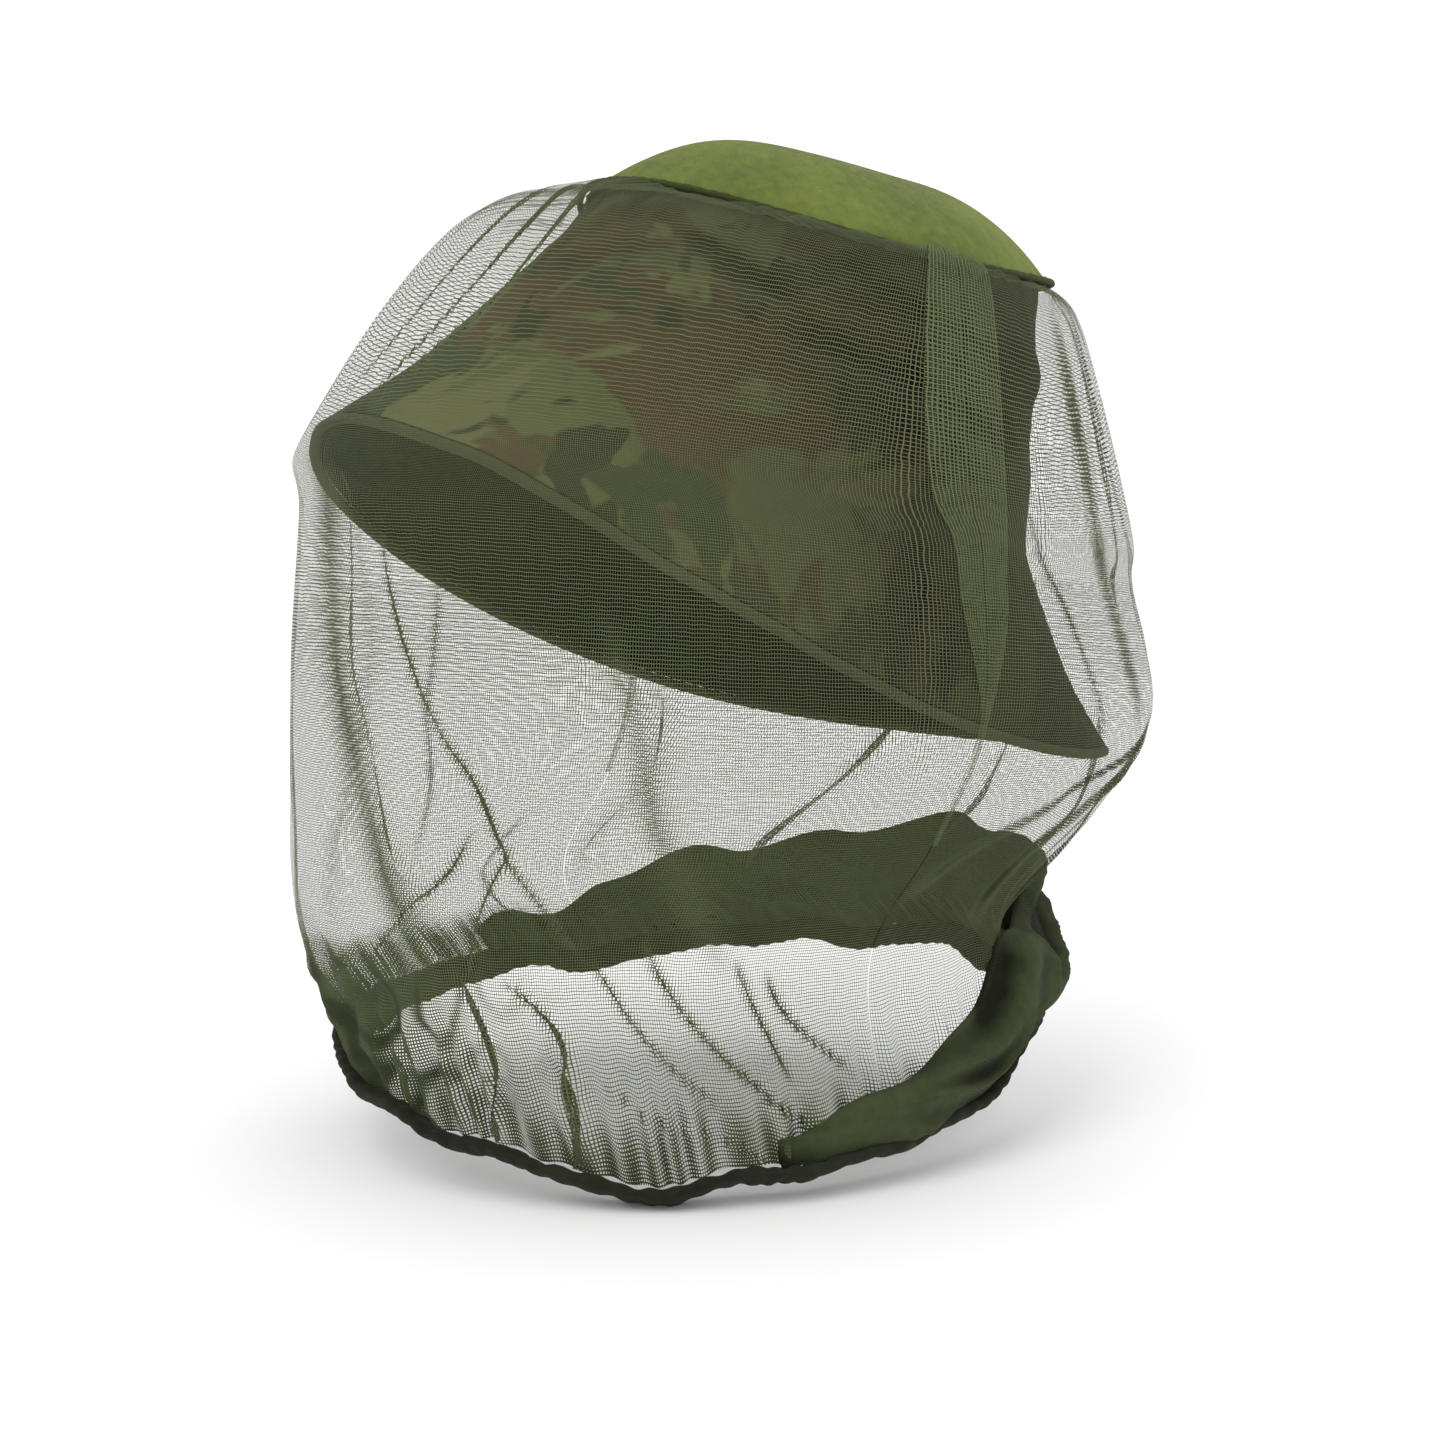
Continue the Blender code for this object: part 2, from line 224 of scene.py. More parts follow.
def makeWeaveGroup():
    # plain weave on flat metres: threads cross over and under; Height and Shade follow them
    tree, given, out = newGroup("clothWeave", [("Vector", "v"), ("Threads", "f")],
                                [("Height", "f"), ("Shade", "f")])
    apart = tree.nodes.new("ShaderNodeSeparateXYZ")
    plug(tree, given["Vector"], apart.inputs[0])
    waves = []
    for axis in (0, 1):
        phase = calc(tree, "MULTIPLY", calc(tree, "MULTIPLY", apart.outputs[axis], given["Threads"]),
                     math.pi)
        waves.append((calc(tree, "SINE", phase), calc(tree, "ABSOLUTE", calc(tree, "COSINE", phase))))
    over = calc(tree, "GREATER_THAN", calc(tree, "MULTIPLY", waves[0][0], waves[1][0]), 0.0)
    under = calc(tree, "SUBTRACT", 1.0, over)
    height = calc(tree, "ADD", calc(tree, "MULTIPLY", waves[0][1], over),
                  calc(tree, "MULTIPLY", waves[1][1], under))
    slub = noiseAt(tree, given["Vector"], 900.0, 2.0)
    height = calc(tree, "ADD", height, calc(tree, "MULTIPLY", slub, 0.5))
    plug(tree, height, out["Height"])
    plug(tree, mapRange(tree, height, 0.2, 1.3, 0.80, 1.06), out["Shade"])
    return tree


def makeCamouflageGroup():
    # woodland blotches: green ground, brown and dark green patches, near-black twigs
    tree, given, out = newGroup("woodlandBlotches", [("Vector", "v"), ("Scale", "f")],
                                [("Color", "c")])
    layers = (((0.0, 0.0, 0.0), 0.505, camouflage["brown"]),
              ((3.1, 1.7, 0.4), 0.525, camouflage["darkGreen"]),
              ((7.7, 5.2, 2.6), 0.590, camouflage["paleGreen"]),
              ((1.9, 8.3, 4.4), 0.575, camouflage["nearBlack"]))
    colour = camouflage["green"]
    for offset, level, patch in layers:
        field = noiseAt(tree, shifted(tree, given["Vector"], offset), given["Scale"], 3.0, 0.55, 0.7)
        mask = mapRange(tree, field, level, level + 0.022)
        colour = blendColour(tree, mask, colour, patch)
    plug(tree, colour, out["Color"])
    return tree


def makeFadeGroup():
    # wash fade and handling marks: slow changes of lightness over a cloth
    tree, given, out = newGroup("washFade", [("Color", "c"), ("Vector", "v"), ("Amount", "f")],
                                [("Color", "c"), ("Roughness", "f")])
    slow = noiseAt(tree, given["Vector"], 18.0, 4.0, 0.6)
    fine = noiseAt(tree, given["Vector"], 260.0, 3.0, 0.6)
    both = calc(tree, "ADD", calc(tree, "MULTIPLY", slow, 0.65), calc(tree, "MULTIPLY", fine, 0.35))
    lift = calc(tree, "ADD", calc(tree, "MULTIPLY", calc(tree, "SUBTRACT", both, 0.5),
                                  given["Amount"]), 1.0)
    bright = tree.nodes.new("ShaderNodeCombineColor")
    for socket in bright.inputs[:3]:
        plug(tree, lift, socket)
    plug(tree, blendColour(tree, 1.0, given["Color"], bright.outputs[0], "MULTIPLY"), out["Color"])
    plug(tree, mapRange(tree, slow, 0.3, 0.7, 0.82, 0.96), out["Roughness"])
    return tree


def makeNetGroup():
    # knitted mesh on flat metres: Mask is 1 on a thread and 0 in a hole
    tree, given, out = newGroup("netMesh", [("Vector", "v"), ("Pitch", "f"), ("Thread", "f"),
                                            ("Gather", "f")], [("Mask", "f"), ("Height", "f")])
    wander = tree.nodes.new("ShaderNodeTexNoise")
    plug(tree, given["Vector"], wander.inputs["Vector"])
    wander.inputs["Scale"].default_value = 160.0
    moved = tree.nodes.new("ShaderNodeVectorMath")
    moved.operation = "MULTIPLY_ADD"
    plug(tree, wander.outputs["Color"], moved.inputs[0])
    moved.inputs[1].default_value = (0.0009, 0.0009, 0.0)
    plug(tree, given["Vector"], moved.inputs[2])
    apart = tree.nodes.new("ShaderNodeSeparateXYZ")
    plug(tree, moved.outputs[0], apart.inputs[0])
    share = calc(tree, "ADD", given["Thread"], calc(tree, "MULTIPLY", given["Gather"],
                 calc(tree, "SUBTRACT", 0.95, given["Thread"])))
    hole = calc(tree, "SUBTRACT", 0.5, calc(tree, "MULTIPLY", share, 0.5))
    depths = []
    for axis in (0, 1):
        cell = calc(tree, "FRACT", calc(tree, "DIVIDE", apart.outputs[axis], given["Pitch"]))
        away = calc(tree, "ABSOLUTE", calc(tree, "SUBTRACT", cell, 0.5))
        depths.append(calc(tree, "SUBTRACT", away, hole))
    top = calc(tree, "MAXIMUM", depths[0], depths[1])
    plug(tree, calc(tree, "GREATER_THAN", top, 0.0), out["Mask"])
    plug(tree, calc(tree, "MULTIPLY", top, 8.0), out["Height"])
    return tree


camouflage = {
    "scale": 18.0,                       # blotches per metre, about
    "green": paint(80, 84, 54),
    "paleGreen": paint(92, 94, 62),
    "brown": paint(72, 55, 38),
    "darkGreen": paint(50, 56, 36),
    "nearBlack": paint(40, 38, 28),
}
weaveGroup = makeWeaveGroup()
camouflageGroup = makeCamouflageGroup()
fadeGroup = makeFadeGroup()
netGroup = makeNetGroup()


def addGroup(tree, group, **values):
    node = tree.nodes.new("ShaderNodeGroup")
    node.node_tree = group
    for label, value in values.items():
        plug(tree, value, node.inputs[label])
    return node.outputs


def newMaterial(name, roughness=0.9, sheen=0.0, specular=0.3):
    material = bpy.data.materials.new(name)
    material.use_nodes = True
    tree = material.node_tree
    shader = tree.nodes["Principled BSDF"]
    shader.inputs["Roughness"].default_value = roughness
    shader.inputs["Sheen Weight"].default_value = sheen
    shader.inputs["Sheen Roughness"].default_value = 0.6
    shader.inputs["Specular IOR Level"].default_value = specular
    return material, tree, shader


def uvOf(tree):
    node = tree.nodes.new("ShaderNodeUVMap")
    node.uv_map = "cut"
    return node.outputs[0]


def objectOf(tree):
    return tree.nodes.new("ShaderNodeTexCoord").outputs["Object"]


def bumpFrom(tree, height, distance, strength, shader):
    bump = tree.nodes.new("ShaderNodeBump")
    bump.inputs["Distance"].default_value = distance
    bump.inputs["Strength"].default_value = strength
    plug(tree, height, bump.inputs["Height"])
    plug(tree, bump.outputs[0], shader.inputs["Normal"])


def wovenMaterial(name, colour, threads, fade=0.5, sheen=0.03, blotches=False, bump=0.5):
    # sewn cloth: weave on its own flat metres, fade and blotches on the object
    material, tree, shader = newMaterial(name, sheen=sheen, specular=0.08)
    place = objectOf(tree)
    if blotches:
        colour = addGroup(tree, camouflageGroup, Vector=place, Scale=camouflage["scale"])["Color"]
        apart = tree.nodes.new("ShaderNodeSeparateXYZ")
        plug(tree, place, apart.inputs[0])
        back = mapRange(tree, apart.outputs[1], -0.11, 0.01)      # painted light and shade: lighter at the front, darker and browner towards the back
        frontLightBackShade = blendColour(tree, back, (1.40, 1.40, 1.36, 1.0), (0.30, 0.23, 0.19, 1.0))
        colour = blendColour(tree, 1.0, colour, frontLightBackShade, "MULTIPLY")
    weave = addGroup(tree, weaveGroup, Vector=uvOf(tree), Threads=threads)
    fadeOut = addGroup(tree, fadeGroup, Color=colour, Vector=place, Amount=fade)
    shade = tree.nodes.new("ShaderNodeCombineColor")
    for socket in shade.inputs[:3]:
        plug(tree, weave["Shade"], socket)
    mixed = blendColour(tree, 1.0, fadeOut["Color"], shade.outputs[0], "MULTIPLY")
    creaseShade = tree.nodes.new("ShaderNodeAttribute")           # painted shade: cloth drawn darker in folds, dents and seam grooves
    creaseShade.attribute_name = "creaseShade"
    creaseShadeColour = blendColour(tree, 1.0, mixed, paint(120, 116, 104), "MULTIPLY")
    mixed = blendColour(tree, creaseShade.outputs["Fac"], mixed, creaseShadeColour)
    plug(tree, mixed, shader.inputs["Base Color"])
    plug(tree, fadeOut["Roughness"], shader.inputs["Roughness"])
    bumpFrom(tree, weave["Height"], 0.00025, bump, shader)
    return material


def netMaterial(name, colour, gathered, pitch, thread):
    # netting: threads are real, holes are open; gathered cloth is denser, and its threads are painted
    # darker there as painted shade of the folds
    material, tree, shader = newMaterial(name, sheen=0.03, specular=0.10)
    gather = tree.nodes.new("ShaderNodeAttribute")
    gather.attribute_name = "gather"
    mesh = addGroup(tree, netGroup, Vector=uvOf(tree), Pitch=pitch, Thread=thread,
                    Gather=gather.outputs["Fac"])
    # painted shade: threads turn darker where the net is bunched, folded or crumpled
    tone = blendColour(tree, gather.outputs["Fac"], colour, gathered)
    fadeOut = addGroup(tree, fadeGroup, Color=tone, Vector=objectOf(tree), Amount=0.7)
    plug(tree, fadeOut["Color"], shader.inputs["Base Color"])
    plug(tree, fadeOut["Roughness"], shader.inputs["Roughness"])
    plug(tree, mesh["Mask"], shader.inputs["Alpha"])
    bumpFrom(tree, mesh["Height"], 0.0002, 0.4, shader)
    return material


camouflageCloth = wovenMaterial("camouflageCloth", camouflage["green"], 1500.0, 0.7, blotches=True)
# painted shade: the brim's underside is coloured near black for the shade under the brim
brimUnderShadeCloth = wovenMaterial("brimUnderShadeCloth", paint(20, 24, 16), 1500.0, 0.9)
liningCloth = wovenMaterial("liningCloth", paint(58, 60, 44), 1400.0, 0.5)
crownCloth = wovenMaterial("crownCloth", paint(98, 109, 46), 1300.0, 2.2, sheen=0.05)
bindingCloth = wovenMaterial("bindingCloth", paint(70, 74, 52), 1600.0, 0.8)
crownEdgeCloth = wovenMaterial("crownEdgeCloth", paint(60, 68, 36), 1600.0, 1.2)
hemCloth = wovenMaterial("hemCloth", paint(34, 37, 25), 1600.0, 2.4)
yokeCloth = wovenMaterial("yokeCloth", paint(58, 66, 40), 1500.0, 2.0)
elasticCloth = wovenMaterial("elasticCloth", paint(36, 38, 32), 1100.0, 0.4)
netCloth = netMaterial("netCloth", paint(90, 96, 66), paint(48, 54, 32), 0.0009, 0.20)
seamCloth = netMaterial("seamCloth", paint(92, 100, 68), paint(84, 92, 60), 0.0009, 0.23)
print("materials ready")


# hat

hat = {
    "pitch": 28.2, "length": 0.202, "width": 0.168,           # the head opening
    "tipPitch": 11.0, "tipCentre": (0.0, 0.0209, 0.0600),     # the oval tip
    "tipLength": 0.160, "tipWidth": 0.122, "tipRise": 0.0285,
    "saddle": 0.006, "slant": 0.004, "fullness": 3.0,
    "cloth": 0.0012, "gap": 0.0004,
    "tuck": 0.0009,                      # the wall reaches this far into the brim's seam
    "wrinkle": 0.0030,                   # how far the soft wall swells and dents
    "seamHalf": 0.0014,                  # half of the sewn groove between two panels
    "height": 0.078, "radius": 0.092,    # of the wall, on average
}
hatCreases = (
    # turn and height share at both ends, half width and depth in metres
    ((30, 0.75), (74, 0.30), 0.0050, -0.0036),
    ((44, 0.28), (92, 0.55), 0.0042, 0.0028),
    ((60, 0.86), (112, 0.62), 0.0050, -0.0028),
    ((64, 0.20), (104, 0.36), 0.0036, -0.0024),
    ((10, 0.30), (40, 0.80), 0.0055, 0.0026),
    ((96, 0.22), (128, 0.40), 0.0060, -0.0026),
    ((100, 0.80), (150, 0.60), 0.0055, 0.0024),
    ((140, 0.55), (190, 0.35), 0.0060, -0.0030),
    ((205, 0.30), (262, 0.52), 0.0055, 0.0026),
    ((280, 0.62), (326, 0.34), 0.0055, -0.0030),
)


def tipFrame(points):
    return nodTurn(points, hat["tipPitch"]) + np.array(hat["tipCentre"])


def seamLift(turn):
    return hat["saddle"] * np.cos(2 * turn) - hat["slant"] * np.cos(turn)


def wallPoint(turn, share, inset=0.0):
    # share 0 is the head opening and 1 is the seam round the tip
    low = nodTurn(ovalPoint(turn, hat["length"] - 2 * inset, hat["width"] - 2 * inset, 0.0,
                            -hat["tuck"]), hat["pitch"])
    high = tipFrame(ovalPoint(turn, hat["tipLength"] - 2 * inset, hat["tipWidth"] - 2 * inset,
                              0.0, seamLift(turn)))
    run = np.linalg.norm(high - low, axis=-1)
    return low + (high - low) * np.clip(share, 0, 1)[:, None], run


def creaseDepth(turn, share, creases):
    depth = 0 * turn
    for (turnA, shareA), (turnB, shareB), halfWidth, deep in creases:
        ax, ay = math.radians(turnA) * hat["radius"], shareA * hat["height"]
        bx, by = math.radians(turnB) * hat["radius"], shareB * hat["height"]
        run = math.hypot(bx - ax, by - ay)
        dx, dy = (bx - ax) / run, (by - ay) / run
        px, py = (turn % fullTurn) * hat["radius"] - ax, share * hat["height"] - ay
        along, aside = px * dx + py * dy, px * dy - py * dx
        ends = ease(-0.3 * run, 0.3 * run, along) * (1 - ease(0.7 * run, 1.3 * run, along))
        depth = depth + deep * ends * np.exp(-(aside / halfWidth) ** 2 / 2)
    return depth


def softWall(turn, share, inset):
    points, run = wallPoint(turn, share, inset)
    hold = ease(0.0, 0.16, share) * (1 - ease(0.86, 1.0, share))
    swell = hat["wrinkle"] * roughness3d(points, 0.030, 2) + creaseDepth(turn, share, hatCreases)
    swell += 0.0007 * roughness3d(points, 0.009, 5)
    groove = np.minimum(np.abs(np.sin(turn)) * hat["length"] / 2 / hat["seamHalf"], 1.0)
    swell = np.minimum(swell * hold, 0.004) - 0.0008 * (1 - groove) + 0.0004 * hold
    points = points + ovalOutward(turn, hat["length"], hat["width"]) * swell[:, None]
    # the second value is a painted shade mask: darker in the dents and along the seam groove
    return points, np.clip(0.25 - swell * 300 + 0.5 * (1 - groove), 0, 1)


def addHatWall():
    half = hat["gap"] / hat["width"]
    sides = (("hatWallLeft", half, math.pi - half, "hat_side_panel_left"),
             ("hatWallRight", math.pi + half, fullTurn - half, "hat_side_panel_right"))
    for name, start, end, node in sides:
        dips = []

        def place(u, v):
            points, dip = softWall(start + (end - start) * u, v, 0.0)
            dips.append(dip)
            return points
        wall = gridSheet(name, 230, 60, place, (0.290, 0.082))
        setAttribute(wall, "creaseShade", dips[0])
        giveThickness(wall, hat["cloth"])
        finishPiece(wall, camouflageCloth, "camouflage_cloth", node)
        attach(wall, "hat")


def domePlace(length, width, height, rise, dent):
    # a dome from its edge to its pole, with soft dents in the cloth
    def place(u, v):
        turn = u * fullTurn
        share = np.cos(math.pi / 2 * v)
        lift = rise * (1 - share ** hat["fullness"])
        points = ovalPoint(turn, length * share, width * share, 0.0,
                           height + lift + seamLift(turn) * share)
        points[:, 2] += dent * roughness3d(points, 0.034, 4) * share * ease(0.0, 0.25, v)
        return tipFrame(points)
    return place


def addHatTop():
    base = hat["cloth"] + hat["gap"]
    place = domePlace(hat["tipLength"], hat["tipWidth"], base, hat["tipRise"], -0.0008)
    top = gridSheet("hatTop", 160, 30, place, (0.5, 0.085), merge=True)
    giveThickness(top, hat["cloth"])
    finishPiece(top, camouflageCloth, "camouflage_cloth", "hat_top_panel")
    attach(top, "hat")


def addBand(name, low, high, thickness, material, node, cut):
    # low and high are heights along the wall, negative ones from its top down
    inset = hat["cloth"] + hat["gap"]

    def place(u, v):
        turn = u * fullTurn
        run = wallPoint(turn, 0 * turn, inset)[1]
        start, end = (run + h if h < 0 else h + 0 * run for h in (low, high))
        return softWall(turn, (start + (end - start) * v) / run, inset)[0]
    band = gridSheet(name, 220, 10, place, cut, merge=True)
    giveThickness(band, thickness)
    finishPiece(band, material, "hat_lining", node)
    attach(band, "hat")


brim = {
    "side": (0.1037, 0.0131, 0.0068), "forward": (-0.0127, -0.1354, 0.0028),
    "height": (-0.0616, 0.0544, 0.0119),
    "ply": 0.0010, "binding": 0.0016, "width": 0.073,
    "wave": 0.0011,                      # soft waves of the edge
    "dish": 0.0030,                      # how far the cloth hollows between root and edge
    "stitchRows": 8, "stitchDepth": 0.00032, "stitchHalf": 0.0008,
}


def brimLine(turn, share):
    root = nodTurn(ovalPoint(turn, hat["length"], hat["width"], 0.0, -hat["gap"]), hat["pitch"])
    edge = stack(sum(k * np.sin((n + 1) * turn) for n, k in enumerate(brim["side"])),
                 sum(k * np.cos(n * turn) for n, k in enumerate(brim["forward"])),
                 sum(k * np.cos(n * turn) for n, k in enumerate(brim["height"])))
    return root + (edge - root) * share[:, None], edge - root


def brimPoint(turn, share, below=0.0, beyond=0.0):
    # share runs from the root to the edge, below is under the top face, beyond is past the edge
    point, run = brimLine(turn, share)
    upward = np.cross(run, brimLine(turn + 0.02, share)[0] - brimLine(turn - 0.02, share)[0])
    upward /= np.linalg.norm(upward, axis=-1, keepdims=True)
    outward = run / np.linalg.norm(run, axis=-1, keepdims=True)
    wave = brim["wave"] * (np.sin(5 * turn + 0.6) + 0.7 * np.sin(9 * turn + 2.1)) * share ** 2
    dish = -brim["dish"] * np.sin(math.pi * share) * (0.6 + 0.4 * np.sin(2 * turn + 0.4))
    soft = 0.0012 * roughness3d(point, 0.026, 31) * share
    lift = np.clip(wave + dish + soft, -0.0048, 0.0030) - below
    return point + upward * lift[:, None] + outward * (beyond + 0 * turn)[:, None]


def addBrimPly(name, below, side, material, node):
    def place(u, v):
        spacing = brim["width"] / brim["stitchRows"]
        row = np.abs(((1 - v) * brim["stitchRows"]) % 1.0 - 0.5) * spacing
        groove = brim["stitchDepth"] * np.exp(-(row / brim["stitchHalf"]) ** 2)
        return brimPoint(u * fullTurn, 1 - v, below + side * groove)
    ply = gridSheet(name, 300, 84, place, (0.76, 0.073), merge=True)
    giveThickness(ply, brim["ply"] * 0.7 if side > 0 else brim["ply"])
    finishPiece(ply, material, "camouflage_cloth", node)
    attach(ply, "hat")


def addBrimBinding():
    middle = brim["ply"] + hat["gap"] / 2
    beyond = hat["gap"] + brim["binding"]

    def centre(turn):
        return brimPoint(turn, 1 + 0 * turn, middle, beyond)

    def side(turn):
        way = centre(turn) - brimPoint(turn, 0.97 + 0 * turn, middle)
        return way / np.linalg.norm(way, axis=-1, keepdims=True)

    def up(turn):
        way = np.cross(side(turn), centre(turn + 0.01) - centre(turn - 0.01))
        return way / np.linalg.norm(way, axis=-1, keepdims=True)

    def section(turn, roll):
        pucker = 1 + 0.05 * np.sin(turn * 190)
        return (brim["binding"] * 1.15 * np.cos(roll) * pucker,
                brim["binding"] * 0.92 * np.sin(roll) * pucker)
    binding = ringTube("brimBinding", 760, section, centre, side, up, (0.84, 0.010))
    finishPiece(binding, bindingCloth, "hat_lining", "hat_brim_binding")
    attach(binding, "hat")


addHatWall()
addHatTop()
addBand("sweatband", 0.001, 0.029, 0.0015, liningCloth, "hat_sweatband", (0.575, 0.028))
addBand("crownSeamTape", -0.0124, -0.0004, 0.0006, liningCloth, "hat_crown_seam_tape",
        (0.44, 0.012))
addBrimPly("brimTop", 0.0, 1.0, camouflageCloth, "hat_brim_upper")
addBrimPly("brimUnder", brim["ply"] + hat["gap"], -1.0, brimUnderShadeCloth, "hat_brim_under")
addBrimBinding()
print("hat built")


# veil: crown panel and its binding

veil = {
    "cloth": 0.0008, "clearance": 0.0010, "overhang": 0.0015, "binding": 0.0014,
}
crownLength = hat["tipLength"] + 2 * (veil["overhang"] + veil["cloth"])
crownWidth = hat["tipWidth"] + 2 * (veil["overhang"] + veil["cloth"])
crownBase = hat["cloth"] + hat["gap"]
crownRise = hat["tipRise"] + veil["clearance"] + veil["cloth"]


def addCrownPanel():
    smooth = domePlace(crownLength, crownWidth, crownBase, crownRise, 0.0)

    def place(u, v):
        # the seam draws the cloth into small tucks that fade towards the middle
        points = smooth(u, v)
        turn = u * fullTurn
        tuck = np.sin(turn * 52 + 2.2 * np.sin(turn * 7)) * (1 - ease(0.0, 0.30, v))
        slow = roughness3d(points, 0.040, 8)
        points[:, 2] += 0.0005 * tuck * ease(0.0, 0.05, v) + 0.0010 * slow * ease(0.1, 0.5, v)
        return points
    panel = gridSheet("crownPanel", 420, 44, place, (0.52, 0.092), merge=True)
    giveThickness(panel, veil["cloth"])
    finishPiece(panel, crownCloth, "crown_panel_cloth", "veil_crown_panel")
    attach(panel, "veil")


def addCrownBinding():
    reach = 2 * (veil["binding"] + hat["gap"])

    def centre(turn):
        return tipFrame(ovalPoint(turn, crownLength + reach, crownWidth + reach, 0.0,
                                  crownBase + seamLift(turn)))

    def side(turn):
        return nodTurn(ovalOutward(turn, crownLength, crownWidth), hat["tipPitch"])

    def up(turn):
        return nodTurn(stack(0 * turn, 0 * turn, 1 + 0 * turn), hat["tipPitch"])

    def section(turn, roll):
        pucker = 1 + 0.10 * np.sin(turn * 110) + 0.06 * np.sin(turn * 43 + 1)
        thin = veil["binding"] * 0.8 * pucker
        return thin * np.cos(roll), thin * np.sin(roll)
    binding = ringTube("crownBinding", 520, section, centre, side, up, (0.47, 0.009))
    finishPiece(binding, crownEdgeCloth, "hem_cloth", "veil_crown_binding")
    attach(binding, "veil")


addCrownPanel()
addCrownBinding()
print("crown panel built")


# veil: net

hem = {
    "centreY": -0.0259, "height": -0.1895, "length": 0.2394, "width": 0.2121,
    "sag": 0.0166, "sagTurn": 51.0, "bend": 0.0070, "bendTurn": -15.5, "slope": 65.0,
    "wave": 0.0016,                      # how far the soft hem waves up and down
    "band": 0.014, "depth": 0.0042, "cloth": 0.0008,
}
net = {
    "rings": (
        # centre y, centre z, half length, half width, pitch, squareness
        (0.0038, 0.0484, 0.1072, 0.0865, 9.5, 2.2), (-0.0165, -0.0134, 0.1350, 0.1075, 8.0, 2.6),
        (-0.0179, -0.0361, 0.1320, 0.1180, 6.0, 2.5), (-0.0120, -0.0837, 0.1440, 0.1130, 3.0, 2.3),
        (-0.0206, -0.1204, 0.1399, 0.1080, 1.0, 2.0), (-0.0387, -0.1544, 0.1178, 0.1065, -1.0, 2.0)),
    "seamTurn": math.radians(96.0), "seamHalf": 0.011, "radius": 0.125,
    "seamOff": 0.0009, "seamCrown": 0.0004,                 # the strip stands off the net and arches
    "gathers": 74, "gatherDepth": 0.0022,
    "frontCut": (0.520, 0.315), "backCut": (0.405, 0.300),
}
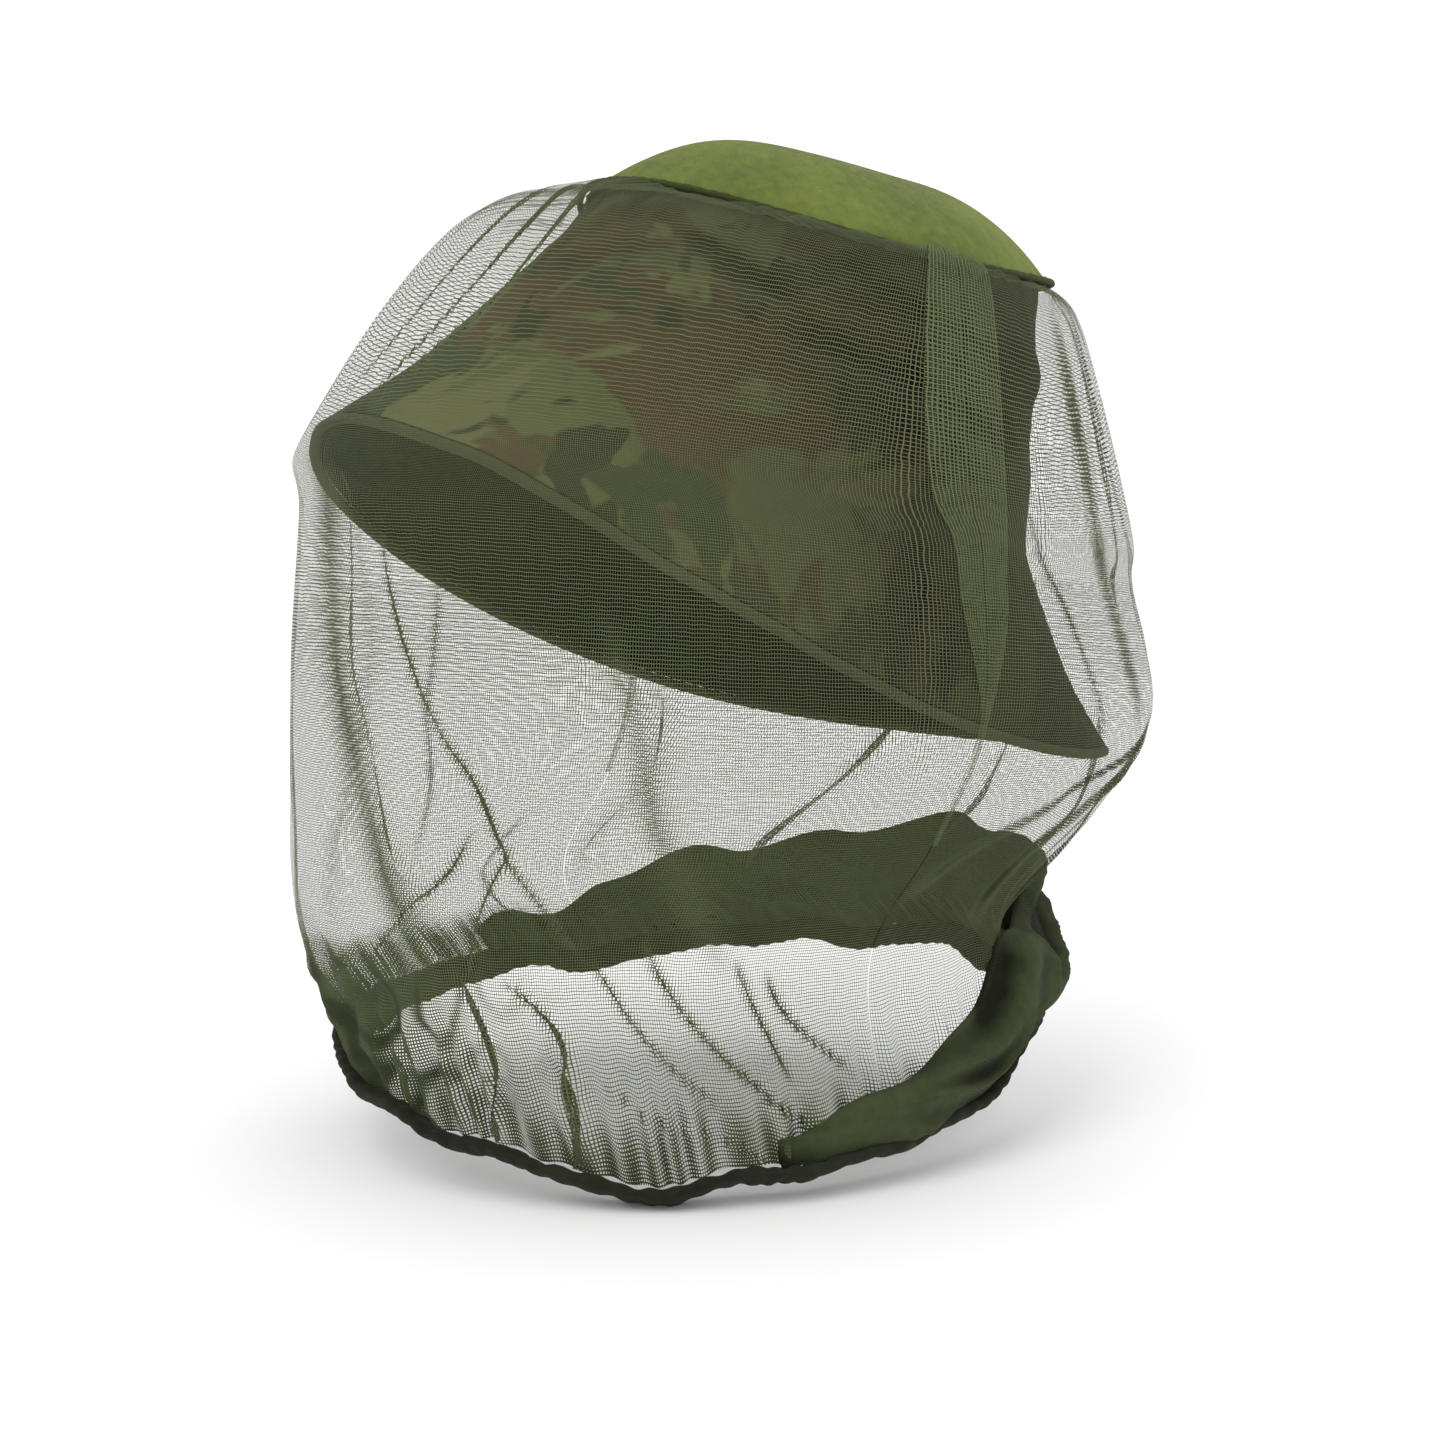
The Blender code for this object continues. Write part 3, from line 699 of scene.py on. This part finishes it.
netFolds = (
    # path of (turn in degrees, share of the way down), half width, fold-over, lift, density
    (((-6, 0.30), (-2, 0.37), (0, 0.465), (5, 0.54), (12, 0.61), (20, 0.70), (27, 0.80), (32, 0.92)),
     0.0056, 0.0012, 0.0008, 0.70),
    (((2, 0.34), (6, 0.465), (10, 0.54), (17, 0.61), (24, 0.70), (31, 0.80)),
     0.0010, 0.0012, 0.0005, 0.40),
    (((12, 0.42), (15, 0.48), (26, 0.565), (36, 0.645), (43, 0.735), (56, 0.86)),
     0.0011, 0.0014, 0.0006, 0.85),
    (((37, 0.69), (33, 0.75), (24, 0.81), (14, 0.87)), 0.0011, 0.0014, 0.0006, 0.95),
    (((43, 0.70), (40, 0.755), (38, 0.80), (36, 0.87)), 0.0010, 0.0013, 0.0006, 0.90),
    (((40, 0.84), (45, 0.87), (50, 0.90), (49, 0.94), (47, 1.0)), 0.0013, 0.0018, 0.0008, 0.85),
    (((46, 0.91), (49, 0.94), (47, 1.0)), 0.0028, 0.0030, 0.0010, 0.35),
    (((54, 0.83), (61, 0.90), (66, 0.93), (72, 0.97)), 0.0010, 0.0012, 0.0006, 0.80),
    (((34, 0.84), (38, 0.925), (34, 0.99)), 0.0012, 0.0018, 0.0010, 0.75),
    (((61, 0.81), (65, 0.86), (70, 0.905), (76, 0.945), (88, 1.0)), 0.0012, 0.0015, 0.0007, 0.95),
    (((74, 0.83), (78, 0.89), (82, 0.95)), 0.0010, 0.0013, 0.0006, 0.85),
    (((79, 0.85), (82, 0.895), (87, 0.92), (92, 0.95)), 0.0010, 0.0013, 0.0006, 0.85),
    (((51, 0.48), (56, 0.56), (58, 0.615), (60, 0.69), (66, 0.77), (75, 0.87)),
     0.0030, 0.0008, 0.0006, 0.36),
    (((120, 0.10), (119, 0.20), (119, 0.30), (120, 0.415), (126, 0.52), (134, 0.61)),
     0.0032, 0.0010, 0.0008, 0.65),
    (((104, 0.28), (105, 0.415), (112, 0.505), (121, 0.61)), 0.0011, 0.0014, 0.0006, 0.60),
    (((144, 0.56), (135, 0.615), (118, 0.66), (109, 0.705), (102, 0.735), (97, 0.80)),
     0.0026, 0.0014, 0.0010, 0.85),
    (((142, 0.60), (136, 0.645), (126, 0.70), (118, 0.74), (117, 0.80), (121, 0.86)),
     0.0030, 0.0016, 0.0012, 0.85),
    (((17, 0.04), (23, 0.15), (20, 0.21), (12, 0.25), (0, 0.30)), 0.0012, 0.0016, 0.0007, 0.80),
    (((22, 0.04), (29, 0.16), (27, 0.22), (19, 0.245), (6, 0.29)), 0.0012, 0.0016, 0.0007, 0.85),
    (((16, 0.08), (11, 0.18), (6, 0.225), (-4, 0.28)), 0.0010, 0.0013, 0.0006, 0.45),
    (((52, 0.93), (58, 0.95), (65, 0.965), (76, 0.995)), 0.0010, 0.0012, 0.0006, 0.70),
    (((128, 0.05), (131, 0.25), (140, 0.44), (150, 0.56)), 0.0020, 0.0022, 0.0008, 0.25),
    (((156, 0.08), (160, 0.28), (158, 0.50)), 0.0018, 0.0018, 0.0008, 0.22),
    (((150, 0.56), (146, 0.66), (134, 0.78), (128, 0.88)), 0.0030, 0.0040, 0.0012, 0.40),
    (((176, 0.54), (170, 0.68), (158, 0.86)), 0.0026, 0.0034, 0.0010, 0.30),
    (((-30, 0.30), (-22, 0.46), (-14, 0.66), (-16, 0.88)), 0.0024, 0.0024, 0.0008, 0.22),
    (((-50, 0.34), (-54, 0.54), (-44, 0.74), (-40, 0.94)), 0.0034, 0.0034, 0.0010, 0.16),
    (((-72, 0.44), (-64, 0.62), (-66, 0.84)), 0.0012, 0.0016, 0.0007, 0.50),
    (((-104, 0.28), (-98, 0.50), (-104, 0.72), (-96, 0.94)), 0.0034, 0.0034, 0.0010, 0.16),
    (((-86, 0.76), (-80, 0.86), (-84, 0.98)), 0.0011, 0.0015, 0.0007, 0.70),
    (((-128, 0.08), (-134, 0.34), (-130, 0.60)), 0.0022, 0.0022, 0.0008, 0.22),
    (((-146, 0.54), (-136, 0.74), (-130, 0.94)), 0.0028, 0.0036, 0.0012, 0.30),
    (((-166, 0.18), (-170, 0.44), (-164, 0.70), (-172, 0.90)), 0.0024, 0.0026, 0.0010, 0.22),
)


def squareOval(turn, reach, half, squareness):
    side, front = np.sin(turn), np.cos(turn)
    power = 2 / squareness
    return stack(np.copysign(half * np.abs(side) ** power, side),
                 -np.copysign(reach * np.abs(front) ** power, front), 0 * turn)


def hemPoint(turn, inward=0.0, below=0.0):
    sag = hem["sag"] * np.cos(turn - math.radians(hem["sagTurn"]))
    sag = sag - hem["bend"] * np.cos(2 * (turn - math.radians(hem["bendTurn"])))
    sag = sag + hem["wave"] * (np.sin(7 * turn + 1) + 0.7 * np.sin(12 * turn + 2.5)
                               + 0.5 * np.sin(19 * turn + 0.4))
    points = ovalPoint(turn, hem["length"], hem["width"], hem["centreY"], hem["height"] - sag)
    slope = math.radians(hem["slope"])
    level = -inward * math.sin(slope) + below * math.cos(slope) + 0 * turn
    rise = -inward * math.cos(slope) - below * math.sin(slope) + 0 * turn
    way = ovalOutward(turn, hem["length"], hem["width"])
    return points + way * level[:, None] + stack(0 * turn, 0 * turn, rise)


def netBase(turn, drop):
    # smooth net surface; drop 0 is the crown seam and 1 is the hem
    reach = 2 * (veil["binding"] + hat["gap"])
    height = crownBase + seamLift(turn) - veil["binding"] - hat["gap"]
    knots = [tipFrame(ovalPoint(turn, crownLength + reach, crownWidth + reach, 0.0, height))]
    for centreY, centreZ, ringReach, half, pitch, squareness in net["rings"]:
        ring = nodTurn(squareOval(turn, ringReach, half, squareness), pitch)
        knots.append(ring + np.array([0.0, centreY, centreZ]))
    knots.append(hemPoint(turn, 0.0045, -0.0007))        # it lies over the casing's edge
    knots = [2 * knots[0] - knots[1]] + knots + [2 * knots[-1] - knots[-2]]
    knots = np.stack(knots)
    spans = len(knots) - 3
    span = np.clip((drop * spans).astype(int), 0, spans - 1)
    t = (drop * spans - span)[:, None]
    pick = np.arange(len(turn))
    a, b, c, d = (knots[span + k, pick] for k in range(4))
    return 0.5 * (2 * b + (c - a) * t + (2 * a - 5 * b + 4 * c - d) * t * t
                  + (3 * b - a - 3 * c + d) * t ** 3)


def netOutward(turn, drop):
    step = 1e-3
    across = netBase(turn + step, drop) - netBase(turn - step, drop)
    down = netBase(turn, np.clip(drop + step, 0, 1)) - netBase(turn, np.clip(drop - step, 0, 1))
    way = np.cross(down, across)
    return way / np.maximum(np.linalg.norm(way, axis=-1, keepdims=True), 1e-9)


def foldField(turn, drop):
    # sideways shift, lift and density of the folds at each point of the net
    shift, lift, dense = 0 * turn, 0 * turn, 0 * turn
    for path, half, over, high, density in netFolds:
        turns = np.radians([p[0] for p in path])
        drops = np.array([p[1] for p in path])
        fade = 0.24 * (drops[-1] - drops[0])
        middle = sum(np.interp(drop + k, drops, turns)
                     for k in (-0.018, -0.009, 0, 0.009, 0.018)) / 5
        aside = ((turn - middle + math.pi) % fullTurn - math.pi) * net["radius"]
        ends = ease(drops[0], drops[0] + fade, drop)
        if drops[-1] < 0.99:
            ends = ends * (1 - ease(drops[-1] - fade, drops[-1], drop))
        ends = ends * (0.82 + 0.18 * np.sin(drop * 37 + turns[0] * 9))
        near = np.exp(0.5 - (aside / half) ** 2 / 2) * ends
        shift = shift - over * near * aside / half
        lift = lift + high * near * aside / half
        dense = np.maximum(dense, density * ends * np.exp(-(aside / half) ** 2 / 2))
    return shift, lift, dense


def turnAway(turn, degrees):
    # turn between a place and this bearing, from minus half a turn to half a turn
    return (turn - math.radians(degrees) + math.pi) % fullTurn - math.pi


def netPlace(turn, drop):
    shift, lift, dense = foldField(turn, drop)
    wobble = 0.5 * np.sin(turn * 11 + 1) + 0.8 * np.sin(turn * 5 + 2) + 0.4 * np.sin(turn * 23)
    gather = net["gatherDepth"] * np.sin(turn * net["gathers"] + 3 * wobble)
    lift = lift + gather * ease(0.86, 0.98, drop) * (1 - 0.6 * ease(0.98, 1.0, drop))
    crownGather = 0.0007 * np.sin(turn * 60 + 4 * wobble)
    lift = lift + crownGather * ease(0.0, 0.02, drop) * (1 - ease(0.04, 0.22, drop))
    # a tuft of gathers at the front of the crown seam
    tuft = np.exp(-(turnAway(turn, 22) / 0.22) ** 2)
    tuft = tuft * ease(0.0, 0.012, drop) * (1 - ease(0.02, 0.09, drop))
    lift = lift + tuft * 0.0016 * (1 + np.sin(turn * 96 + wobble))
    line = stack(np.cos(turn) * 0.9, np.sin(turn) * 0.9, drop * 0.35)
    soft = roughness3d(line, 0.16, 11) * 0.0045 * ease(0.52, 0.75, drop)
    upper = np.abs(roughness3d(line, 0.10, 13)) * 0.0010 * ease(0.02, 0.12, drop)
    lift = lift + soft * (1 - ease(0.90, 1.0, drop)) + upper
    # the brim's tip pushes the net out less than the smooth surface shows
    lift = lift - 0.0040 * np.exp(-(turnAway(turn, -8) / 0.42) ** 2 - ((drop - 0.28) / 0.07) ** 2)
    points = netBase(turn + shift / net["radius"], drop)
    # crumpled patch low at the front
    patch = np.exp(-(turnAway(turn, 10) / 0.42) ** 2) * ease(0.82, 0.88, drop)
    crumple = roughness3d(points, 0.010, 17)
    ridges = np.clip(1 - np.abs(roughness3d(points, 0.014, 19)) * 4, 0, 1)
    lift = lift + patch * 0.0040 * crumple * (1 - ease(0.95, 1.0, drop))
    # the ridges are denser net and also darker threads, a painted shade of the crumples
    dense = np.maximum(dense, patch * (0.50 + 0.9 * ridges))
    # the net is bunched just above the hem, more in some places than in others
    bunch = roughness3d(stack(np.cos(turn), np.sin(turn), 0 * turn) * 0.12, 0.030, 23)
    reach = 0.938 + 0.022 * bunch - 0.040 * np.exp(-(turnAway(turn, -60) / 0.9) ** 2)
    strand = 0.5 + 0.5 * np.sin(turn * 118 + 5 * wobble)
    bunched = 0.22 + 0.48 * strand + 0.30 * bunch
    dense = np.maximum(dense, ease(reach, reach + 0.05, drop) * bunched)
    dense = np.maximum(dense, tuft * 0.40)
    return points + netOutward(turn, drop) * lift[:, None], np.clip(dense, 0, 1)


def addNet():
    half = hat["gap"] / hem["width"]
    left = net["seamTurn"]
    right = fullTurn - left
    panels = (("netFront", right - fullTurn + half, left - half, 650, net["frontCut"],
               "veil_net_front"),
              ("netBack", left + half, right - half, 570, net["backCut"], "veil_net_back"))
    for name, start, end, across, cut, node in panels:
        density = []

        def place(u, v):
            points, dense = netPlace(start + (end - start) * u, 1 - v)
            density.append(dense)
            return points
        panel = gridSheet(name, across, 140, place, cut)
        setAttribute(panel, "gather", density[0])
        finishPiece(panel, netCloth, "net_mesh", node)
        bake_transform(panel)


def addNetSeams():
    spans = len(net["rings"]) + 1
    stop = 1 - 4 / (2 * spans)
    halfTurn = 2 * net["seamHalf"] / hem["width"]
    for name, middle, node in (("netSeamLeft", net["seamTurn"], "veil_net_seam_left"),
                               ("netSeamRight", fullTurn - net["seamTurn"], "veil_net_seam_right")):
        def place(u, v):
            drop = 0.3 / spans + (stop - 0.3 / spans) * (1 - v)
            turn = middle + (2 * u - 1) * halfTurn * (1 - 0.5 * ease(0.10, 0.50, drop)
                                                      - 0.42 * ease(0.46, 0.58, drop))
            off = net["seamOff"] + net["seamCrown"] * (1 - (2 * u - 1) ** 2)
            return netPlace(turn, drop)[0] + netOutward(turn, drop) * off[:, None]
        seam = gridSheet(name, 34, 150, place, (0.018, 0.215))
        setAttribute(seam, "gather", 0.05 * np.ones(len(seam.data.vertices)))
        finishPiece(seam, seamCloth, "net_mesh", node)
        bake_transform(seam)


# hem and nape yoke

def addHem():
    width, depth = hem["band"], hem["depth"]

    def place(u, v):
        turn, roll = u * fullTurn, v * fullTurn
        wobble = np.sin(turn * 9 + 1) + 0.6 * np.sin(turn * 17 + 2)
        crimp = np.sin(turn * 96 + 2.4 * wobble)
        plump = 1 + 0.16 * crimp + 0.12 * np.sin(turn * 31 + wobble) + 0.10 * np.sin(turn * 53 - roll)
        c, s = np.cos(roll), np.sin(roll)
        along = width / 2 + width / 2 * np.copysign(np.abs(c) ** 0.7, c) * (1 + 0.03 * crimp)
        deep = depth / 2 - depth / 2 * np.copysign(np.abs(s) ** 0.8, s) * np.minimum(plump, 1.2)
        return hemPoint(turn, along, deep)
    casing = gridSheet("hemCasing", 900, 20, place, (1.02, 0.036), merge=True)
    bmeshNormals(casing)
    finishPiece(casing, hemCloth, "hem_cloth", "hem_casing")
    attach(casing, "hem")

    def strip(u, v):
        turn = u * fullTurn
        inward = (width - 0.008) / 2 + 0.008 * v
        return hemPoint(turn, inward, (depth - 0.0012) / 2)
    elastic = gridSheet("hemElastic", 240, 6, strip, (0.66, 0.008), merge=True)
    giveThickness(elastic, 0.0010)
    finishPiece(elastic, elasticCloth, "elastic", "hem_elastic")
    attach(elastic, "hem")


def bmeshNormals(piece):
    shape = bmesh.new()
    shape.from_mesh(piece.data)
    bmesh.ops.recalc_face_normals(shape, faces=shape.faces)
    shape.to_mesh(piece.data)
    shape.free()


yoke = {
    "start": math.radians(77.0), "end": math.radians(286.0), "cloth": 0.0012,
    "height": 0.038, "endShare": 0.20, "puff": 0.016, "cut": (0.415, 0.052),
}


def netAboveHem(turn, height):
    # point on the net at a height above the hem
    drops = np.linspace(0.6, 1.0, 61)
    heights = np.stack([netBase(turn, np.full(len(turn), d))[:, 2] for d in drops])
    wanted = heights[-1] + height
    drop = np.array([np.interp(w, column[::-1], drops[::-1]) for w, column in zip(wanted, heights.T)])
    return netBase(turn, drop)


def addYoke():
    dips = []

    def place(u, v):
        turn = yoke["start"] + (yoke["end"] - yoke["start"]) * u
        swell = np.sin(math.pi * u)
        height = yoke["height"] * (yoke["endShare"] + (1 - yoke["endShare"]) * swell)
        height = height * (1 + 0.07 * np.sin(turn * 9 + 1) + 0.05 * np.sin(turn * 17))
        base = netAboveHem(turn, height * v)
        line = stack(turn * 0.12, 0 * turn, height * v)
        stretched = stack(turn * 0.12 * 0.20, 0 * turn, height * v + 0.007 * np.sin(turn * 4))
        ridge = np.maximum(1 - 3.6 * np.abs(roughness3d(stretched, 0.0100, 21)), -0.7)
        fine = roughness3d(line, 0.006, 23)
        off = 0.0016 + yoke["puff"] * swell * np.sin(math.pi * v) ** 0.8
        edge = ease(0.0, 0.12, v) * (1 - ease(0.90, 1.0, v))
        off = off + edge * (0.0038 * (ridge - 0.2) + 0.0008 * fine) * (0.35 + 0.65 * swell)
        # painted shade mask: darker in the valleys between the ridges
        dips.append(np.clip(0.45 - 0.9 * ridge + 0.3 * fine, 0, 1))
        way = ovalOutward(turn, hem["length"], hem["width"])
        points = base + way * np.maximum(off, yoke["cloth"])[:, None]
        hang = np.exp(-((turn - math.radians(98)) / 0.16) ** 2) * (1 - ease(0.0, 0.5, v))
        points[:, 2] += edge * 0.0015 * ridge - 0.0055 * hang
        return points
    cloth = gridSheet("napeYoke", 420, 64, place, yoke["cut"])
    setAttribute(cloth, "creaseShade", dips[0])
    giveThickness(cloth, yoke["cloth"])
    finishPiece(cloth, yokeCloth, "hem_cloth", "nape_yoke")
    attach(cloth, "hem")


addHem()
addNet()
addNetSeams()
addYoke()
print("net, hem and yoke built")


# stage, light and camera

def addStage():
    shape = bmesh.new()
    bmesh.ops.create_circle(shape, cap_ends=True, segments=96, radius=9.0)
    bmesh.ops.translate(shape, verts=shape.verts, vec=(0, 0, min(p[2] for p in cadBox) - 0.001))
    mesh = bpy.data.meshes.new("floor")
    shape.to_mesh(mesh)
    shape.free()
    floor = bpy.data.objects.new("floor", mesh)
    bpy.context.scene.collection.objects.link(floor)
    material, _, shader = newMaterial("paleFloor", 0.95)
    shader.inputs["Base Color"].default_value = (0.90, 0.90, 0.90, 1)
    mesh.materials.append(material)
    world = bpy.data.worlds.new("softRoom")
    world.use_nodes = True
    world.node_tree.nodes["Background"].inputs[0].default_value = (1.0, 1.0, 1.0, 1)
    world.node_tree.nodes["Background"].inputs[1].default_value = 1.12
    bpy.context.scene.world = world


def addLight(name, place, aim, size, power):
    lamp = bpy.data.lights.new(name, "AREA")
    lamp.size = size
    lamp.energy = power
    piece = bpy.data.objects.new(name, lamp)
    piece.location = place
    piece.rotation_euler = (Vector(aim) - Vector(place)).to_track_quat("-Z", "Y").to_euler()
    bpy.context.scene.collection.objects.link(piece)


camera = {"azimuth": 60.7, "rise": 5.0, "distance": 0.70, "lens": 52.07, "aside": -0.0079,
          "centre": (0.0, -0.0065, -0.0933)}


def addCamera():
    azimuth, rise = math.radians(camera["azimuth"]), math.radians(camera["rise"])
    target = Vector((camera["aside"] * math.cos(azimuth), camera["aside"] * math.sin(azimuth), 0.0))
    target += Vector(camera["centre"])
    away = Vector((math.sin(azimuth) * math.cos(rise), -math.cos(azimuth) * math.cos(rise),
                   math.sin(rise)))
    data = bpy.data.cameras.new("camera")
    data.lens = camera["lens"]
    data.sensor_width = 36.0
    data.clip_start = 0.01
    piece = bpy.data.objects.new("camera", data)
    piece.location = target + away * camera["distance"]
    piece.rotation_euler = (-away).to_track_quat("-Z", "Y").to_euler()
    bpy.context.scene.collection.objects.link(piece)
    bpy.context.scene.camera = piece


addStage()
addLight("key", (0.9, -1.5, 1.6), (0, 0, -0.05), 1.2, 16)
addLight("fill", (1.8, 0.6, 0.7), (0, 0, -0.05), 2.0, 4)
addLight("rim", (-1.2, 1.4, 1.3), (0, 0, 0), 1.4, 6)
addCamera()
bpy.context.scene.view_settings.view_transform = "Standard"
bpy.context.scene.cycles.transparent_max_bounces = 48
print("stage, light and camera ready")
